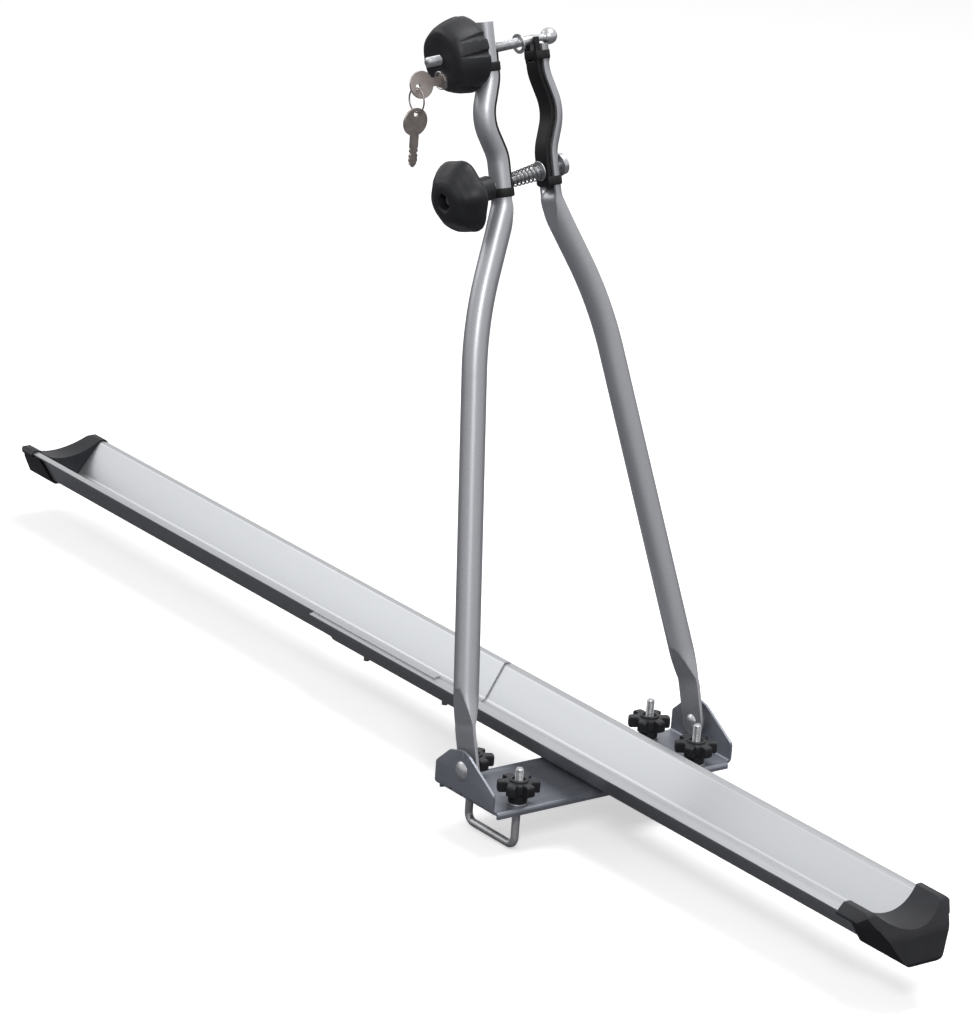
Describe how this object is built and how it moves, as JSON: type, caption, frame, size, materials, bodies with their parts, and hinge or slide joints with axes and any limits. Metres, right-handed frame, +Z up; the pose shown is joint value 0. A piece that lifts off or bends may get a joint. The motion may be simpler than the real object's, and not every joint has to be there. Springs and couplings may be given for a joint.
{
  "type": "bike carrier",
  "caption": "Roof bar bike carrier: trough rail with end caps, folding clamp arms with rubber jaw, locking knob, U-bolt mounts and star knobs.",
  "frame": {"origin": "centre of the base plate's underside, where it rests on the roof bar", "axes": "+X along the wheel rail towards its front end, +Y across the rail along the roof bar, +Z up"},
  "size_m": [1.444, 0.2942, 0.7429],
  "materials": {
    "plate_steel": "satin",
    "arm_paint": "satin",
    "rail_aluminium": "satin",
    "black_plastic": "matte",
    "black_rubber": "matte",
    "zinc_steel": "satin",
    "brass_insert": "satin",
    "chrome": "gloss",
    "key_nickel": "satin"
  },
  "bodies": {
    "carrier": {"base_plate": "plate_steel", "rail_front": "rail_aluminium", "rail_rear": "rail_aluminium", "cap_front": "black_plastic", "cap_rear": "black_plastic", "joint_bolts": "zinc_steel", "joint_washers": "zinc_steel", "joint_nuts": "zinc_steel", "rail_rivets": "zinc_steel", "pivot_rivet_near": "zinc_steel", "pivot_rivet_far": "zinc_steel", "pivot_spacer_near": "zinc_steel", "pivot_spacer_far": "zinc_steel"},
    "near_arm": {"arm_near": "arm_paint", "pad_near": "black_rubber", "spring": "zinc_steel"},
    "far_arm": {"arm_far": "arm_paint", "pad_far": "black_rubber"},
    "clamp_bolt_upper": {"upper_bolt": "zinc_steel", "upper_washer": "zinc_steel"},
    "clamp_bolt_lower": {"lower_bolt": "zinc_steel", "far_washer": "zinc_steel", "far_nut": "zinc_steel", "spring_washer": "zinc_steel"},
    "lock_knob": {"locking_knob": "black_plastic", "lock_barrel": "chrome"},
    "low_knob": {"lower_knob": "black_plastic", "knob_collar": "black_plastic"},
    "lock_plug": {"lock_core": "chrome", "key": "key_nickel"},
    "ring": {"key_ring": "key_nickel"},
    "second_key": {"spare_key": "key_nickel"},
    "u_bolt_near": {"ubolt_near": "zinc_steel", "leg_washers_near": "zinc_steel"},
    "star_near_rear": {"star_knob_near_rear": "black_plastic", "star_insert_near_rear": "brass_insert"},
    "star_near_front": {"star_knob_near_front": "black_plastic", "star_insert_near_front": "brass_insert"},
    "u_bolt_far": {"ubolt_far": "zinc_steel", "leg_washers_far": "zinc_steel"},
    "star_far_rear": {"star_knob_far_rear": "black_plastic", "star_insert_far_rear": "brass_insert"},
    "star_far_front": {"star_knob_far_front": "black_plastic", "star_insert_far_front": "brass_insert"}
  },
  "joints": [
    {"name": "arm_fold", "type": "hinge", "parent": "carrier", "child": "near_arm", "pos_m": [-0.004, 0, 0.027], "axis": [0, 1, 0], "range_deg": [-67, 101]},
    {"name": "jaw_close", "type": "hinge", "parent": "near_arm", "child": "far_arm", "pos_m": [-0.004, 0.1345, 0.027], "axis": [0.9583, 0, 0.2857], "range_deg": [0, 2.2], "deforming": ["spring"]},
    {"name": "upper_bolt_draw", "type": "slide", "parent": "near_arm", "child": "clamp_bolt_upper", "axis": [0.0224, -0.9969, -0.0752], "range_m": [0, 0.027]},
    {"name": "lower_bolt_draw", "type": "slide", "parent": "near_arm", "child": "clamp_bolt_lower", "axis": [0.0417, -0.9893, -0.14], "range_m": [0, 0.0225]},
    {"name": "locking_knob_spin", "type": "hinge", "parent": "near_arm", "child": "lock_knob", "pos_m": [-0.19441, 0, 0.66572], "axis": [0.0224, -0.9969, -0.0752], "continuous": true},
    {"name": "lower_knob_spin", "type": "hinge", "parent": "near_arm", "child": "low_knob", "pos_m": [-0.15899, 0, 0.54689], "axis": [0.0417, -0.9893, -0.14], "continuous": true},
    {"name": "key_turn", "type": "hinge", "parent": "lock_knob", "child": "lock_plug", "pos_m": [-0.18995, -0.08424, 0.64025], "axis": [0.0224, -0.9969, -0.0752], "range_deg": [0, 90]},
    {"name": "ring_swing", "type": "hinge", "parent": "lock_plug", "child": "ring", "pos_m": [-0.189, -0.10976, 0.63599], "axis": [1, 0, 0], "range_deg": [-20, 20]},
    {"name": "spare_key_swing", "type": "hinge", "parent": "ring", "child": "second_key", "pos_m": [-0.189, -0.10976, 0.61279], "axis": [1, 0, 0], "range_deg": [-30, 30]},
    {"name": "u_bolt_near_slide", "type": "slide", "parent": "carrier", "child": "u_bolt_near", "axis": [0, 1, 0], "range_m": [-0.004, 0.004]},
    {"name": "star_knob_near_rear_spin", "type": "hinge", "parent": "u_bolt_near", "child": "star_near_rear", "pos_m": [-0.036, -0.1064, 0.02], "axis": [0, 0, 1], "continuous": true},
    {"name": "star_knob_near_front_spin", "type": "hinge", "parent": "u_bolt_near", "child": "star_near_front", "pos_m": [0.036, -0.1064, 0.02], "axis": [0, 0, 1], "continuous": true},
    {"name": "u_bolt_far_slide", "type": "slide", "parent": "carrier", "child": "u_bolt_far", "axis": [0, -1, 0], "range_m": [-0.004, 0.004]},
    {"name": "star_knob_far_rear_spin", "type": "hinge", "parent": "u_bolt_far", "child": "star_far_rear", "pos_m": [-0.036, 0.1064, 0.02], "axis": [0, 0, 1], "continuous": true},
    {"name": "star_knob_far_front_spin", "type": "hinge", "parent": "u_bolt_far", "child": "star_far_front", "pos_m": [0.036, 0.1064, 0.02], "axis": [0, 0, 1], "continuous": true}
  ],
  "couplings": [
    {"joint": "upper_bolt_draw", "follows": "jaw_close", "m_per_rad": 0.675},
    {"joint": "lower_bolt_draw", "follows": "jaw_close", "m_per_rad": 0.5564}
  ]
}
